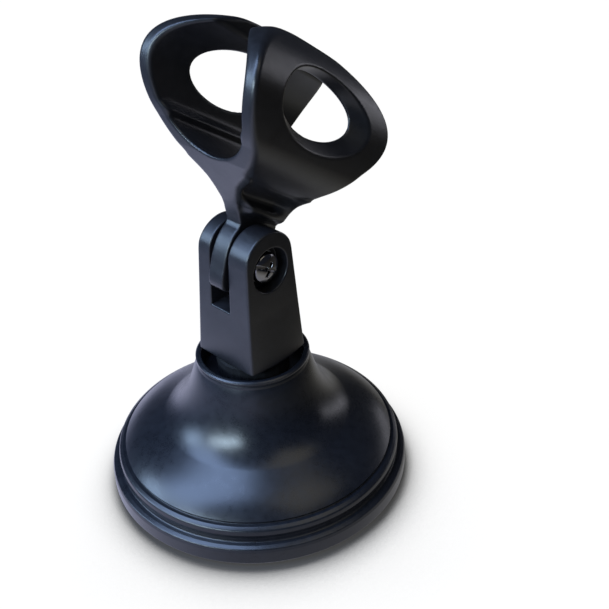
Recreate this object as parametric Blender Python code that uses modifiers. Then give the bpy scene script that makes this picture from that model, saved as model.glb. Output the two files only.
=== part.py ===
"""Desktop microphone stand: weighted base, swivel post and tilting mic clip.

Frame: origin at the centre of the base's footprint on the desk, +Z up, front towards -Y.
The clip's tilt hinge runs along X, and the slot between the ears of the post runs along Y.
Sizes are in millimetres; MM converts them to metres when objects are made.
"""
import math

import bmesh
import bpy
from mathutils import Matrix

MM = 0.001

# ---------------------------------------------------------- shared dimensions
STAND_OFF = 0.6          # the feet lift the skirt this far off the desk
RECESS_FLOOR_Z = 37.0    # floor of the collar recess, which carries the stud
STUD_R = 7.94            # 5/8 inch stud
POST_BOTTOM_Z = 44.2
HINGE_Z = 75.1
SLOT_MID = -1.3          # off centre: the ear under the screw head is the thicker one
SLOT_HALF = 3.87
TONGUE_HALF = 2.95       # half thickness of the clip's tongue
BOLT_R = 2.45            # M5 shank
BOLT_HOLE_R = BOLT_R + 0.2
WASHER_HOLE_R = BOLT_R + 0.15
COUNTERBORE_X = 5.7      # floor of the counterbore for the screw head
NUT_AF = 8.0             # thin M5 nut, across flats
TURN_TO_X = (0, math.pi / 2, 0)          # local Z onto world X

# ---------------------------------------------------------------------- scene
for old in list(bpy.data.objects):
    bpy.data.objects.remove(old, do_unlink=True)

parts = bpy.data.collections.new("desktop_mic_stand")
cutters = bpy.data.collections.new("cutters")
cutters.hide_render = True
for collection in (parts, cutters):
    bpy.context.scene.collection.children.link(collection)


# ------------------------------------------------------------------ materials
def material(name, color, roughness, metallic=0.0):
    made = bpy.data.materials.new(name)
    made.use_nodes = True
    shader = made.node_tree.nodes["Principled BSDF"]
    shader.inputs["Base Color"].default_value = (*color, 1.0)
    shader.inputs["Roughness"].default_value = roughness
    shader.inputs["Metallic"].default_value = metallic
    made.diffuse_color = (*color, 1.0)
    return made


BLACK_PLASTIC = material("black_plastic", color=(0.018, 0.019, 0.024), roughness=0.38)
BLACK_NYLON = material("black_nylon", color=(0.016, 0.017, 0.021), roughness=0.42)
FLEXIBLE_BLACK = material("flexible_black_plastic", color=(0.014, 0.014, 0.018), roughness=0.45)
PLATE_BLACK = material("plate_black", color=(0.02, 0.02, 0.02), roughness=0.6)
CAST_IRON = material("cast_iron", color=(0.10, 0.095, 0.09), roughness=0.7, metallic=0.7)
BLACK_STEEL = material("black_steel", color=(0.03, 0.03, 0.032), roughness=0.28, metallic=0.9)
ZINC = material("zinc_steel", color=(0.62, 0.62, 0.60), roughness=0.35, metallic=1.0)
BRASS = material("brass", color=(0.72, 0.53, 0.22), roughness=0.32, metallic=1.0)
RUBBER = material("foot_rubber", color=(0.03, 0.03, 0.03), roughness=0.85)
FIBRE = material("friction_fibre", color=(0.12, 0.10, 0.085), roughness=0.8)


# -------------------------------------------------------------------- objects
def empty(name, location=(0, 0, 0), parent=None):
    made = bpy.data.objects.new(name, None)
    made.empty_display_size = 0.01
    made.location = [value * MM for value in location]
    made.parent = parent
    parts.objects.link(made)
    return made


def place(name, mesh, finish=None, location=(0, 0, 0), rotation=(0, 0, 0), parent=None,
          collection=parts):
    mesh.name = name
    made = bpy.data.objects.new(name, mesh)
    made.location = [value * MM for value in location]
    made.rotation_euler = rotation
    made.parent = parent
    collection.objects.link(made)
    if finish is not None:
        mesh.materials.append(finish)
    return made


def cut(target, name, mesh, operation="DIFFERENCE", **where):
    """Add a boolean to the target, fed by a hidden helper object made from the mesh."""
    helper = place(name, mesh, collection=cutters, **where)
    helper.hide_render = True
    helper.display_type = "WIRE"
    modifier = target.modifiers.new(name, "BOOLEAN")
    modifier.operation = operation
    modifier.solver = "EXACT"
    modifier.object = helper


def around(radius, angles):
    """Numbered places on a circle about Z, at angles in degrees from +X."""
    return [
        (number, (radius * math.cos(math.radians(angle)), radius * math.sin(math.radians(angle)), 0))
        for number, angle in enumerate(angles, 1)
    ]


# --------------------------------------------------------------------- meshes
def finish_mesh(builder):
    mesh = bpy.data.meshes.new("mesh")
    builder.to_mesh(mesh)
    builder.free()
    return mesh


def cylinder(radius, low, high, segments):
    """Solid cylinder along local Z; six segments give a hexagon."""
    builder = bmesh.new()
    bmesh.ops.create_cone(
        builder, cap_ends=True, segments=segments,
        radius1=radius * MM, radius2=radius * MM, depth=(high - low) * MM,
        matrix=Matrix.Translation((0, 0, 0.5 * (low + high) * MM)),
    )
    return finish_mesh(builder)


def box(low, high):
    """Box between two opposite corners."""
    builder = bmesh.new()
    size = [(end - start) * MM for start, end in zip(low, high)]
    middle = [0.5 * (start + end) * MM for start, end in zip(low, high)]
    bmesh.ops.create_cube(
        builder, size=1.0, matrix=Matrix.Translation(middle) @ Matrix.Diagonal((*size, 1.0))
    )
    return finish_mesh(builder)


def loft(rings):
    """Closed solid through a list of equal rings of (x, y, z) points."""
    builder = bmesh.new()
    rows = [[builder.verts.new([value * MM for value in point]) for point in ring]
            for ring in rings]
    for low, high in zip(rows, rows[1:]):
        for i in range(len(low)):
            j = (i + 1) % len(low)
            builder.faces.new((low[i], low[j], high[j], high[i]))
    builder.faces.new(list(reversed(rows[0])))
    builder.faces.new(rows[-1])
    bmesh.ops.recalc_face_normals(builder, faces=builder.faces)
    return finish_mesh(builder)


def prism(outline, low_x, high_x):
    """Solid with a (y, z) outline, running along X."""
    return loft([[(x, y, z) for y, z in outline] for x in (low_x, high_x)])


def turned(name, profile, finish, segments, closed=True, **where):
    """Turned piece from (radius, z) points; an open profile starts and ends on the axis."""
    points = [(radius * MM, 0.0, z * MM) for radius, z in profile]
    edges = [(i, i + 1) for i in range(len(points) - 1)]
    if closed:
        edges.append((len(points) - 1, 0))
    mesh = bpy.data.meshes.new(name)
    mesh.from_pydata(points, edges, [])
    made = place(name, mesh, finish, **where)
    screw = made.modifiers.new("turn", "SCREW")
    screw.axis = "Z"
    screw.angle = 2 * math.pi
    screw.steps = screw.render_steps = segments
    screw.use_merge_vertices = True
    screw.merge_threshold = 0.00001
    screw.use_smooth_shade = True
    return made


def washer(name, outer_r, hole_r, low, high, finish, segments, **where):
    profile = [(outer_r, high), (outer_r, low), (hole_r, low), (hole_r, high)]
    return turned(name, profile, finish, segments, **where)


def bezier(start, start_pull, end_pull, end, count):
    """The first count points of a cubic curve in count steps; the end point is left out."""
    points = []
    for i in range(count):
        t = i / count
        points.append(tuple(
            (1 - t) ** 3 * a + 3 * t * (1 - t) ** 2 * b + 3 * t * t * (1 - t) * c + t**3 * d
            for a, b, c, d in zip(start, start_pull, end_pull, end)
        ))
    return points


# ----------------------------------------------------------------- base shell
BASE_R = 47.5            # outer radius of the skirt
SKIRT_T = 2.6
BASE_SEGMENTS = 40
LIP_R = 17.46            # collar lip, outer radius
LIP_Z = 43.0             # collar lip, top
RECESS_R = 15.7          # collar recess, radius
FLOOR_BOTTOM_Z = RECESS_FLOOR_Z - 4.0
STUD_HOLE_R = 5.3
DOME_TOP = (29.6, 20.1)  # (radius, z) where the neck runs into the dome
DOME_FOOT = (42.6, 12.2)

# Profiles of the bell as (radius, z).
LIP = [
    (RECESS_R + 0.3, LIP_Z), (LIP_R - 0.55, LIP_Z), (LIP_R, LIP_Z - 0.6),
    (LIP_R - 0.1, LIP_Z - 1.6), (LIP_R - 0.6, LIP_Z - 2.1),
]
NECK = bezier((LIP_R - 0.1, 40.4), (19.6, 35.8), (20.6, 25.6), DOME_TOP, 7)
DOME = bezier(DOME_TOP, (35.0, 17.4), (38.6, 16.0), DOME_FOOT, 4)
RIM = [
    DOME_FOOT, (42.35, 11.5), (43.5, 11.3), (44.6, 10.6), (45.0, 9.4), (44.6, 8.3),
    (44.6, 6.6), (45.9, 5.9), (46.9, 5.4), (BASE_R, 4.6), (BASE_R, 0.6), (BASE_R - 0.5, 0.0),
]
# Inner side, from the foot of the skirt up to the stud hole and the recess.
BASE_INSIDE = [
    (BASE_R - SKIRT_T, 0.0), (BASE_R - SKIRT_T, 2.9), (42.1, 4.4), (41.3, 9.6), (38.4, 12.3),
    (32.0, 15.9), (26.8, 18.3), (22.4, 21.8), (19.0, 26.6), (15.6, 32.0),
    (14.4, FLOOR_BOTTOM_Z), (STUD_HOLE_R, FLOOR_BOTTOM_Z), (STUD_HOLE_R, RECESS_FLOOR_Z),
    (RECESS_R, RECESS_FLOOR_Z), (RECESS_R, LIP_Z - 0.3),
]

# Seven bosses under the dome: three carry the ballast, four the bottom plate.
BALLAST_PLACES = around(28.5, (90, 210, 330))
PLATE_PLACES = around(37.6, (45, 135, 225, 315))
BALLAST_BOSS = dict(radius=3.4, low=13.4, high=17.6, segments=12)
BALLAST_PILOT = dict(radius=1.55, low=12.0, high=16.9, segments=8)
PLATE_BOSS = dict(radius=3.2, low=3.3, high=12.0, segments=12)
PLATE_PILOT = dict(radius=1.3, low=2.0, high=10.6, segments=8)


def build_base_shell(frame):
    shell = turned("base_shell", LIP + NECK + DOME + RIM + BASE_INSIDE, BLACK_PLASTIC,
                   BASE_SEGMENTS, parent=frame)
    for kind, places, boss, pilot in (
        ("ballast", BALLAST_PLACES, BALLAST_BOSS, BALLAST_PILOT),
        ("plate", PLATE_PLACES, PLATE_BOSS, PLATE_PILOT),
    ):
        for number, spot in places:
            cut(shell, f"{kind}_boss_{number}", cylinder(**boss), "UNION",
                location=spot, parent=frame)
            cut(shell, f"{kind}_boss_hole_{number}", cylinder(**pilot),
                location=spot, parent=frame)


# -------------------------------------------------- ballast and its screws
BALLAST_PROFILE = [      # (radius, z)
    (32.4, 12.6), (33.2, 11.6), (33.2, 5.4), (32.4, 4.6), (13.4, 4.6),
    (12.6, 5.4), (12.6, 12.2), (13.4, 13.0), (31.6, 13.0),
]
BALLAST_HOLE = dict(radius=1.9, low=3.0, high=15.0, segments=12)
BALLAST_COUNTERBORE = dict(radius=3.6, low=3.0, high=8.0, segments=14)
BALLAST_SCREW = dict(head_r=3.1, head_h=2.2, shank_r=1.4, low=5.5, tip=16.6, drive_half=1.6)
PLATE_SCREW = dict(head_r=2.7, head_h=1.2, shank_r=1.15, low=0.4, tip=9.6, drive_half=1.3)
DRIVE_SLOT_HALF = 0.28   # half width of each slot of the cross
DRIVE_TURN = 20          # degrees the cross is turned from the X axis


def pan_screw(name, head_r, head_h, shank_r, low, tip, drive_half, finish, location, parent):
    """Small pan head screw that points up: its head hangs below the seat."""
    seat = low + head_h
    screw = turned(
        name,
        [(0.0, tip), (shank_r * 0.55, tip), (shank_r, tip - shank_r * 0.8), (shank_r, seat),
         (head_r, seat), (head_r, low + head_h * 0.35), (head_r * 0.75, low), (0.0, low)],
        finish, 12, closed=False, location=location, parent=parent,
    )
    for turn in (0, 90):
        slot = box((-drive_half, -DRIVE_SLOT_HALF, low - 1.0),
                   (drive_half, DRIVE_SLOT_HALF, low + head_h * 0.55))
        cut(screw, f"{name}_drive_{turn}", slot, location=location,
            rotation=(0, 0, math.radians(turn + DRIVE_TURN)), parent=parent)


def build_ballast(frame):
    """Ballast ring, counterbored from below for its screws."""
    ring = turned("ballast_ring", BALLAST_PROFILE, CAST_IRON, 36, parent=frame)
    for number, spot in BALLAST_PLACES:
        cut(ring, f"ballast_hole_{number}", cylinder(**BALLAST_HOLE),
            location=spot, parent=frame)
        cut(ring, f"ballast_counterbore_{number}", cylinder(**BALLAST_COUNTERBORE),
            location=spot, parent=frame)
        pan_screw(f"ballast_screw_{number}", **BALLAST_SCREW, finish=ZINC,
                  location=spot, parent=frame)


# ------------------------------------------------------ bottom plate and feet
PLATE_R = 44.6
PLATE_LOW, PLATE_HIGH = 0.3, 2.7
PLATE_CHAMFER = 0.4
FOOT_R = 5.2
FOOT_PLACES = around(34.0, (0, 90, 180, 270))
FOOT_POCKET = dict(radius=FOOT_R + 0.35, low=-1.0, high=1.5, segments=16)
PLATE_HOLE = dict(radius=1.6, low=-1.0, high=4.0, segments=12)
PLATE_SINK = dict(radius=3.1, low=-1.0, high=1.7, segments=14)
PLATE_PROFILE = [        # (radius, z)
    (0.0, PLATE_HIGH), (PLATE_R - PLATE_CHAMFER, PLATE_HIGH),
    (PLATE_R, PLATE_HIGH - PLATE_CHAMFER), (PLATE_R, PLATE_LOW + PLATE_CHAMFER),
    (PLATE_R - PLATE_CHAMFER, PLATE_LOW), (0.0, PLATE_LOW),
]
FOOT_PROFILE = [         # (radius, z)
    (0.0, 1.2), (FOOT_R - 0.3, 1.2), (FOOT_R, 0.9), (FOOT_R, -0.2),
    (FOOT_R - 0.5, -STAND_OFF), (0.0, -STAND_OFF),
]


def build_bottom_plate(frame):
    """Plate let into the skirt, with its screws and pockets for the feet."""
    plate = turned("bottom_plate", PLATE_PROFILE, PLATE_BLACK, 40, closed=False, parent=frame)
    for number, spot in FOOT_PLACES:
        cut(plate, f"foot_pocket_{number}", cylinder(**FOOT_POCKET), location=spot, parent=frame)
    for number, spot in PLATE_PLACES:
        cut(plate, f"plate_hole_{number}", cylinder(**PLATE_HOLE), location=spot, parent=frame)
        cut(plate, f"plate_sink_{number}", cylinder(**PLATE_SINK), location=spot, parent=frame)
        pan_screw(f"plate_screw_{number}", **PLATE_SCREW, finish=BLACK_STEEL,
                  location=spot, parent=frame)


def build_feet(frame):
    for number, spot in FOOT_PLACES:
        turned(f"rubber_foot_{number}", FOOT_PROFILE, RUBBER, 16, closed=False,
               location=spot, parent=frame)


# ----------------------------------------------------------------------- stud
STUD_TOP_Z = 57.0
FLANGE_R = 11.2          # flange that sits on the recess floor
FLANGE_LOW, FLANGE_TOP = RECESS_FLOOR_Z + 0.3, 43.4
STUD_SHANK_R = 4.95      # thinner shank through the floor
STUD_BOTTOM_Z = 21.2
STUD_PROFILE = [         # (radius, z)
    (0.0, STUD_TOP_Z), (STUD_R - 1.0, STUD_TOP_Z), (STUD_R, STUD_TOP_Z - 1.0),
    (STUD_R, FLANGE_TOP), (FLANGE_R - 0.6, FLANGE_TOP), (FLANGE_R, FLANGE_TOP - 0.6),
    (FLANGE_R, FLANGE_LOW), (STUD_SHANK_R, FLANGE_LOW), (STUD_SHANK_R, STUD_BOTTOM_Z + 0.8),
    (STUD_SHANK_R - 0.75, STUD_BOTTOM_Z), (0.0, STUD_BOTTOM_Z),
]
STUD_WASHER = dict(outer_r=9.6, hole_r=5.25, low=31.3, high=32.7)
STUD_NUT = dict(radius=9.6, low=25.2, high=31.0, segments=6)
STUD_NUT_BORE = dict(radius=5.1, low=24.0, high=33.0, segments=36)


def build_stud(frame):
    """Stud that stands in the collar, with its washer and nut under the floor."""
    turned("threaded_stud", STUD_PROFILE, ZINC, 28, closed=False, parent=frame)
    washer("stud_washer", **STUD_WASHER, finish=ZINC, segments=36, parent=frame)
    nut = place("stud_nut", cylinder(**STUD_NUT), ZINC, parent=frame)
    cut(nut, "stud_nut_bore", cylinder(**STUD_NUT_BORE), parent=frame)


# --------------------------------------------------------------- swivel post
POST_STATIONS = (POST_BOTTOM_Z, 46.5, 49.5, 53.0, 57.0, 61.5, 90.0)      # z of each ring
POST_TAPER_Z = 82.0      # the TOP half sizes below hold here
POST_HALF_X_LOW, POST_HALF_X_TOP = 11.6, 10.1
POST_HALF_Y_LOW, POST_HALF_Y_TOP = 11.2, 8.95
POST_BULGE = 1.35        # how far each face bellies out at the foot
POST_BULGE_HEIGHT = 17.0
POST_BULGE_POWER = 1.4   # how quickly the belly fades with height
POST_CORNER_R = 0.9
POST_SIDE_STEPS, POST_CORNER_STEPS = 6, 3
EAR_Z = 77.3             # the ears are rounded about a point a little above the hinge
EAR_R = 9.5
EAR_ARC_START = 8        # degrees above horizontal where the rounding starts
EAR_ARC_STEPS = 25
SLOT_BOTTOM_Z = 62.1
INSERT_R = 9.55
INSERT_BORE_R = STUD_R + 0.16
INSERT_TOP_Z = 58.2
INSERT_PROFILE = [       # (radius, z)
    (INSERT_R, INSERT_TOP_Z), (INSERT_R, POST_BOTTOM_Z + 0.4), (INSERT_R - 0.4, POST_BOTTOM_Z),
    (STUD_R + 0.6, POST_BOTTOM_Z), (INSERT_BORE_R, POST_BOTTOM_Z + 0.5),
    (INSERT_BORE_R, INSERT_TOP_Z),
]
# Cut along the hinge, with low and high measured along X.
POST_BOLT_HOLE = dict(radius=BOLT_HOLE_R, low=-20, high=20, segments=24)
POST_COUNTERBORE = dict(radius=6.7, low=COUNTERBORE_X, high=20, segments=40)
NUT_POCKET = dict(radius=(NUT_AF + 0.4) / math.sqrt(3), low=-20, high=-7.2, segments=6)
PIVOT_NUT = dict(radius=NUT_AF / math.sqrt(3), low=-10.1, high=-7.4, segments=6)
PIVOT_NUT_BORE = dict(radius=WASHER_HOLE_R, low=-12, high=-4, segments=24)
POST_SOCKET = dict(radius=INSERT_R + 0.2, low=30.0, high=58.6, segments=36)
FRICTION_WASHER_R = 7.0


def post_ring(z):
    """Rounded, bellied rectangle at height z, counter-clockwise from above."""
    rise = (z - POST_BOTTOM_Z) / (POST_TAPER_Z - POST_BOTTOM_Z)
    half_x = POST_HALF_X_LOW + (POST_HALF_X_TOP - POST_HALF_X_LOW) * rise
    half_y = POST_HALF_Y_LOW + (POST_HALF_Y_TOP - POST_HALF_Y_LOW) * rise
    fade = max(0.0, 1 - (z - POST_BOTTOM_Z) / POST_BULGE_HEIGHT)
    belly = POST_BULGE * fade ** POST_BULGE_POWER
    corner, ring = POST_CORNER_R, []
    for side in range(4):
        half, reach = (half_x, half_y) if side % 2 == 0 else (half_y, half_x)
        face = []
        for i in range(POST_SIDE_STEPS + 1):
            share = -1 + 2 * i / POST_SIDE_STEPS
            face.append((share * (half - corner), reach + belly * (1 - share * share)))
        for i in range(1, POST_CORNER_STEPS):
            angle = math.pi / 2 * i / POST_CORNER_STEPS
            face.append((half - corner + corner * math.sin(angle),
                         reach - corner + corner * math.cos(angle)))
        for along, out in face:
            x, y = ((along, -out), (out, along), (-along, out), (-out, -along))[side]
            ring.append((x, y, z))
    return ring


def ear_outline():
    """Side view (y, z) that rounds off the ears and leaves the rest of the post whole."""
    wide, step_y, step_z = 30.0, EAR_R + 0.6, EAR_Z - 6.0
    outline = [(-wide, 30.0), (wide, 30.0), (wide, step_z), (step_y, step_z)]
    for i in range(EAR_ARC_STEPS + 1):
        angle = math.radians(EAR_ARC_START + i * (180 - 2 * EAR_ARC_START) / EAR_ARC_STEPS)
        outline.append((EAR_R * math.cos(angle), EAR_Z + EAR_R * math.sin(angle)))
    return outline + [(-step_y, step_z), (-wide, step_z)]


def build_post(frame, at_hinge):
    post = place("swivel_post", loft([post_ring(z) for z in POST_STATIONS]), BLACK_NYLON,
                 parent=frame)
    cut(post, "post_envelope", prism(ear_outline(), -20, 20), "INTERSECT", parent=frame)
    slot = box((SLOT_MID - SLOT_HALF, -30, SLOT_BOTTOM_Z), (SLOT_MID + SLOT_HALF, 30, 100))
    cut(post, "post_slot", slot, parent=frame)
    cut(post, "post_bolt_hole", cylinder(**POST_BOLT_HOLE), **at_hinge)
    cut(post, "post_counterbore", cylinder(**POST_COUNTERBORE), **at_hinge)
    cut(post, "post_nut_pocket", cylinder(**NUT_POCKET), **at_hinge)
    cut(post, "post_socket", cylinder(**POST_SOCKET), parent=frame)
    turned("thread_insert", INSERT_PROFILE, BRASS, 28, parent=frame)


def build_pivot_nut(at_hinge):
    nut = place("pivot_nut", cylinder(**PIVOT_NUT), BLACK_STEEL, **at_hinge)
    cut(nut, "pivot_nut_bore", cylinder(**PIVOT_NUT_BORE), **at_hinge)


def build_friction_washers(at_hinge):
    """One washer on each side of the tongue; right is +X."""
    for side, sign in (("right", 1), ("left", -1)):
        low, high = sorted((SLOT_MID + sign * (TONGUE_HALF + 0.2),
                            SLOT_MID + sign * (SLOT_HALF - 0.15)))
        washer(f"friction_washer_{side}", FRICTION_WASHER_R, BOLT_HOLE_R, low, high,
               FIBRE, 28, **at_hinge)


# -------------------------------------------------------------- tension screw
# Stacked outwards along X from the counterbore floor.
FLAT_WASHER = dict(outer_r=5.0, hole_r=WASHER_HOLE_R,
                   low=COUNTERBORE_X + 0.1, high=COUNTERBORE_X + 0.75)
SPRING_WASHER = dict(outer_r=4.4, hole_r=WASHER_HOLE_R,
                     low=COUNTERBORE_X + 0.9, high=COUNTERBORE_X + 1.65)
SPLIT_TURN = math.radians(25)
SPLIT_CORNERS = ((COUNTERBORE_X, -0.4, -6.0), (COUNTERBORE_X + 3, 0.4, 0.0))
HEAD_X = COUNTERBORE_X + 1.8             # underside of the screw head
BOLT_HEAD_R = 4.75
BOLT_TIP_X = -10.2
BOLT_PROFILE = [         # (radius, x)
    (0.0, 10.0), (1.9, 9.95), (3.3, 9.6), (4.3, 8.9), (BOLT_HEAD_R, 8.1),
    (BOLT_HEAD_R, HEAD_X), (BOLT_R, HEAD_X), (BOLT_R, BOLT_TIP_X + 0.5),
    (BOLT_R - 0.5, BOLT_TIP_X), (0.0, BOLT_TIP_X),
]
BOLT_DRIVE_TURN = math.radians(-30)
BOLT_DRIVE = {           # opposite corners of the long slot and of the short bar across it
    "bolt_slot": ((8.5, -6.0, -0.5), (12.0, 6.0, 0.5)),
    "bolt_cross": ((8.0, -0.55, -2.2), (12.0, 0.55, 2.2)),
}


def build_tension_screw(frame):
    along_x = dict(rotation=TURN_TO_X, parent=frame)
    washer("flat_washer", **FLAT_WASHER, finish=BLACK_STEEL, segments=32, **along_x)
    spring = washer("spring_washer", **SPRING_WASHER, finish=BLACK_STEEL, segments=32, **along_x)
    cut(spring, "spring_washer_split", box(*SPLIT_CORNERS),
        rotation=(SPLIT_TURN, 0, 0), parent=frame)
    bolt = turned("pivot_bolt", BOLT_PROFILE, BLACK_STEEL, 32, closed=False, **along_x)
    for name, corners in BOLT_DRIVE.items():
        cut(bolt, name, box(*corners), rotation=(BOLT_DRIVE_TURN, 0, 0), parent=frame)


# ------------------------------------------------------------------- mic clip
# The clip is laid out upright in its own frame, with the hinge at the origin: y runs
# along the cradle and z away from the hinge.  The frame is then tilted about X.
CLIP_TILT = math.radians(-34.5)          # angle of the cradle axis from +Y at rest
CUP_MID_Z = 42.27        # middle of the petals
CUP_RISE = 19.98         # from there to the tips
CUP_TOP_Z = CUP_MID_Z + CUP_RISE * 0.985 # the wall stops just short of the tips
CUP_SHAPE = (20.89, -1.14, -10.13, -5.51)  # half width as a cubic in the petal height
CUP_CORNER_Z = 32.5      # below this the sides curve in under the floor
CUP_BOTTOM = 19.0        # underside of the floor
CUP_SKEW = 0.97          # each side is this much further out in front and further in behind
CUP_SKEW_FULL_X = 8.0    # the skew fades to nothing from here to the middle
CUP_WALL = 4.5
CUP_COLUMNS, CUP_FLOOR_STEPS, CUP_SIDE_STEPS = 10, 9, 12
PETAL_Y, PETAL_HALF = -13.36, 30.8       # middle and half length of the petals
PETAL_EGG = 0.19         # the petals are longer above their middle
LOW_Z = 34               # below this the ends of the wall follow straight slopes
BACK_LOW_Y, BACK_SLOPE = 12.5, 0.69      # back end at LOW_Z, and its slope in y per z
FRONT_HIGH, FRONT_LOW = 1.12, 1.4        # slopes of the front above and below its knee
KNEE_Y, KNEE_Z = -28.0, 24.0
NECK_BACK = 4.9
NECK_Z = 14.0            # foot of the sloping front cut
CLIP_BOLT_HOLE = dict(radius=BOLT_HOLE_R, low=-10, high=10, segments=24)


def petal_height(z):
    """Height as a share of the petals' rise: 0 at their middle, 1 at the tips."""
    return (z - CUP_MID_Z) / CUP_RISE


def cup_half_width(z):
    return sum(factor * petal_height(z)**power for power, factor in enumerate(CUP_SHAPE))


def cup_section():
    """Outer side of half the cradle, from under the floor to the tip of a petal, as (x, z)."""
    corner = (cup_half_width(CUP_CORNER_Z), CUP_CORNER_Z)
    section = bezier((0.0, CUP_BOTTOM), (14.5, CUP_BOTTOM + 0.4), (17.6, 28.0), corner,
                     CUP_FLOOR_STEPS)
    for i in range(CUP_SIDE_STEPS + 1):
        share = math.sin(math.pi / 2 * i / CUP_SIDE_STEPS)
        z = CUP_CORNER_Z + (CUP_TOP_Z - CUP_CORNER_Z) * share
        section.append((cup_half_width(z), z))
    return section


def petal_edges(z):
    """Front and back end of the cradle wall at height z."""
    height = max(-1.0, petal_height(z))
    half = PETAL_HALF * math.sqrt(1 - height * height) * (1 + PETAL_EGG * height)
    front, back = PETAL_Y - half, PETAL_Y + half
    if z < LOW_Z:
        front = min(front, KNEE_Y - 0.3, KNEE_Y - FRONT_HIGH * (z - KNEE_Z))
        back = max(back, NECK_BACK, BACK_LOW_Y + BACK_SLOPE * (z - LOW_Z))
    return front, back


def cradle_sheet():
    """Outer surface of the +X half of the cradle."""
    builder = bmesh.new()
    grid = []
    for x, z in cup_section():
        front, back = petal_edges(z)
        middle, half = 0.5 * (front + back), 0.5 * (back - front)
        row = []
        for j in range(CUP_COLUMNS + 1):
            y = middle - half * math.cos(math.pi * j / CUP_COLUMNS)
            skew = CUP_SKEW * (y - PETAL_Y) / PETAL_HALF * min(1.0, x / CUP_SKEW_FULL_X)
            row.append(builder.verts.new(((x - skew) * MM, y * MM, z * MM)))
        grid.append(row)
    for low, high in zip(grid, grid[1:]):
        for j in range(CUP_COLUMNS):
            builder.faces.new((low[j], low[j + 1], high[j + 1], high[j]))
    return finish_mesh(builder)


def build_cradle(frame):
    clip = place("mic_clip", cradle_sheet(), FLEXIBLE_BLACK, parent=frame)
    mirror = clip.modifiers.new("mirror", "MIRROR")
    mirror.use_axis = (True, False, False)
    mirror.use_clip = True
    mirror.merge_threshold = 0.00001
    wall = clip.modifiers.new("wall", "SOLIDIFY")
    wall.thickness = CUP_WALL * MM
    wall.offset = -1.0
    wall.use_even_offset = True
    rim = clip.modifiers.new("rim", "BEVEL")
    rim.width = 1.1 * MM
    rim.segments = 1
    rim.limit_method = "ANGLE"
    rim.angle_limit = math.radians(50)
    return clip


# Stem: a web in line with the tongue, flared into the cradle floor above and into two
# shoulders below, which clear the ears.  Rows are (z, half width in x, front y).
STEM = [
    (13.0, 5.6, -11.4), (15.0, 5.6, -13.6), (16.0, 4.2, -15.8),
    (17.4, 4.0, -18.0), (18.8, 7.0, -20.8), (21.6, 10.5, -24.7),
]
STEM_SEGMENTS = 28
STEM_POWER = 2 / 5.0     # squareness of the superellipse section
STEM_SHIFT = 0.8 * SLOT_MID              # sideways shift at the foot, none at the top


def stem_ring(z, half_x, front):
    low, high = STEM[0][0], STEM[-1][0]
    shift = STEM_SHIFT * ((high - z) / (high - low))
    middle, half_y = 0.5 * (front + NECK_BACK), 0.5 * (NECK_BACK - front)
    ring = []
    for i in range(STEM_SEGMENTS):
        angle = 2 * math.pi * i / STEM_SEGMENTS
        cosine, sine = math.cos(angle), math.sin(angle)
        ring.append((shift + math.copysign(abs(cosine) ** STEM_POWER, cosine) * half_x,
                     middle + math.copysign(abs(sine) ** STEM_POWER, sine) * half_y, z))
    return ring


# Side outline (y, z) of the round tongue and of the neck up to the floor.
TONGUE_LOWER = [         # back half, from hinge height down to the end
    (9.4, 0.0), (9.2, -3.4), (8.4, -6.6), (7.3, -9.0), (6.3, -10.0), (5.0, -10.4),
]
TONGUE_UPPER = [
    (-10.3, 2.4), (-10.3, 4.7), (-9.6, 6.7), (-8.8, 8.2), (-9.2, 9.4), (-10.7, 11.2),
    (-14.6, 14.1), (-26.0, 22.2), (NECK_BACK - 0.8, 22.2), (NECK_BACK - 0.8, 15.0),
    (5.5, 11.0), (7.9, 7.0), (9.1, 3.4),
]
TONGUE = TONGUE_LOWER + [(-y, z) for y, z in reversed(TONGUE_LOWER)] + TONGUE_UPPER

# Side outline (y, z) of the flat cut below the knee, through floor, shoulders and neck.
NECK_Y = KNEE_Y + FRONT_LOW * (KNEE_Z - NECK_Z)
FRONT_FACE = [
    (NECK_Y, NECK_Z), (NECK_Y, 0.0), (-60.0, 0.0), (-60.0, KNEE_Z + 0.6),
    (KNEE_Y - 1.4, KNEE_Z + 0.6), (KNEE_Y, KNEE_Z),
]

# Oval windows through both petals, as (y, z, half length, half height).
WINDOW_INNER = (-14.2, 46.1, 15.2, 8.8)
WINDOW_OUTER = (-12.9, 45.1, 20.4, 10.8)
WINDOW_SEGMENTS = 36
# Rows are (distance from the middle in x, share of the way from the inner to the outer oval).
WINDOW_FLARE = [(4.0, 0.0), (17.0, 0.0), (20.7, 1.0), (24.9, 2.1)]


def window_ring(x, share):
    middle_y, middle_z, half_y, half_z = (
        inner + share * (outer - inner) for inner, outer in zip(WINDOW_INNER, WINDOW_OUTER)
    )
    angles = [2 * math.pi * (i + 0.5) / WINDOW_SEGMENTS for i in range(WINDOW_SEGMENTS)]
    return [(x, middle_y + half_y * math.cos(angle), middle_z + half_z * math.sin(angle))
            for angle in angles]


def build_clip(frame):
    clip = build_cradle(frame)
    cut(clip, "clip_stem", loft([stem_ring(*row) for row in STEM]), "UNION", parent=frame)
    tongue = prism(TONGUE, SLOT_MID - TONGUE_HALF, SLOT_MID + TONGUE_HALF)
    cut(clip, "clip_tongue", tongue, "UNION", parent=frame)
    cut(clip, "front_face", prism(FRONT_FACE, -30, 30), parent=frame)
    cut(clip, "clip_bolt_hole", cylinder(**CLIP_BOLT_HOLE), rotation=TURN_TO_X, parent=frame)
    for side, sign in (("right", 1), ("left", -1)):
        rings = [window_ring(sign * x, share) for x, share in WINDOW_FLARE]
        cut(clip, f"window_{side}", loft(rings), parent=frame)


# ------------------------------------------------------------------- assembly
base_frame = empty("base_frame", (0, 0, STAND_OFF))
build_base_shell(base_frame)
build_ballast(base_frame)
build_bottom_plate(base_frame)
build_feet(base_frame)
build_stud(base_frame)

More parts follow.
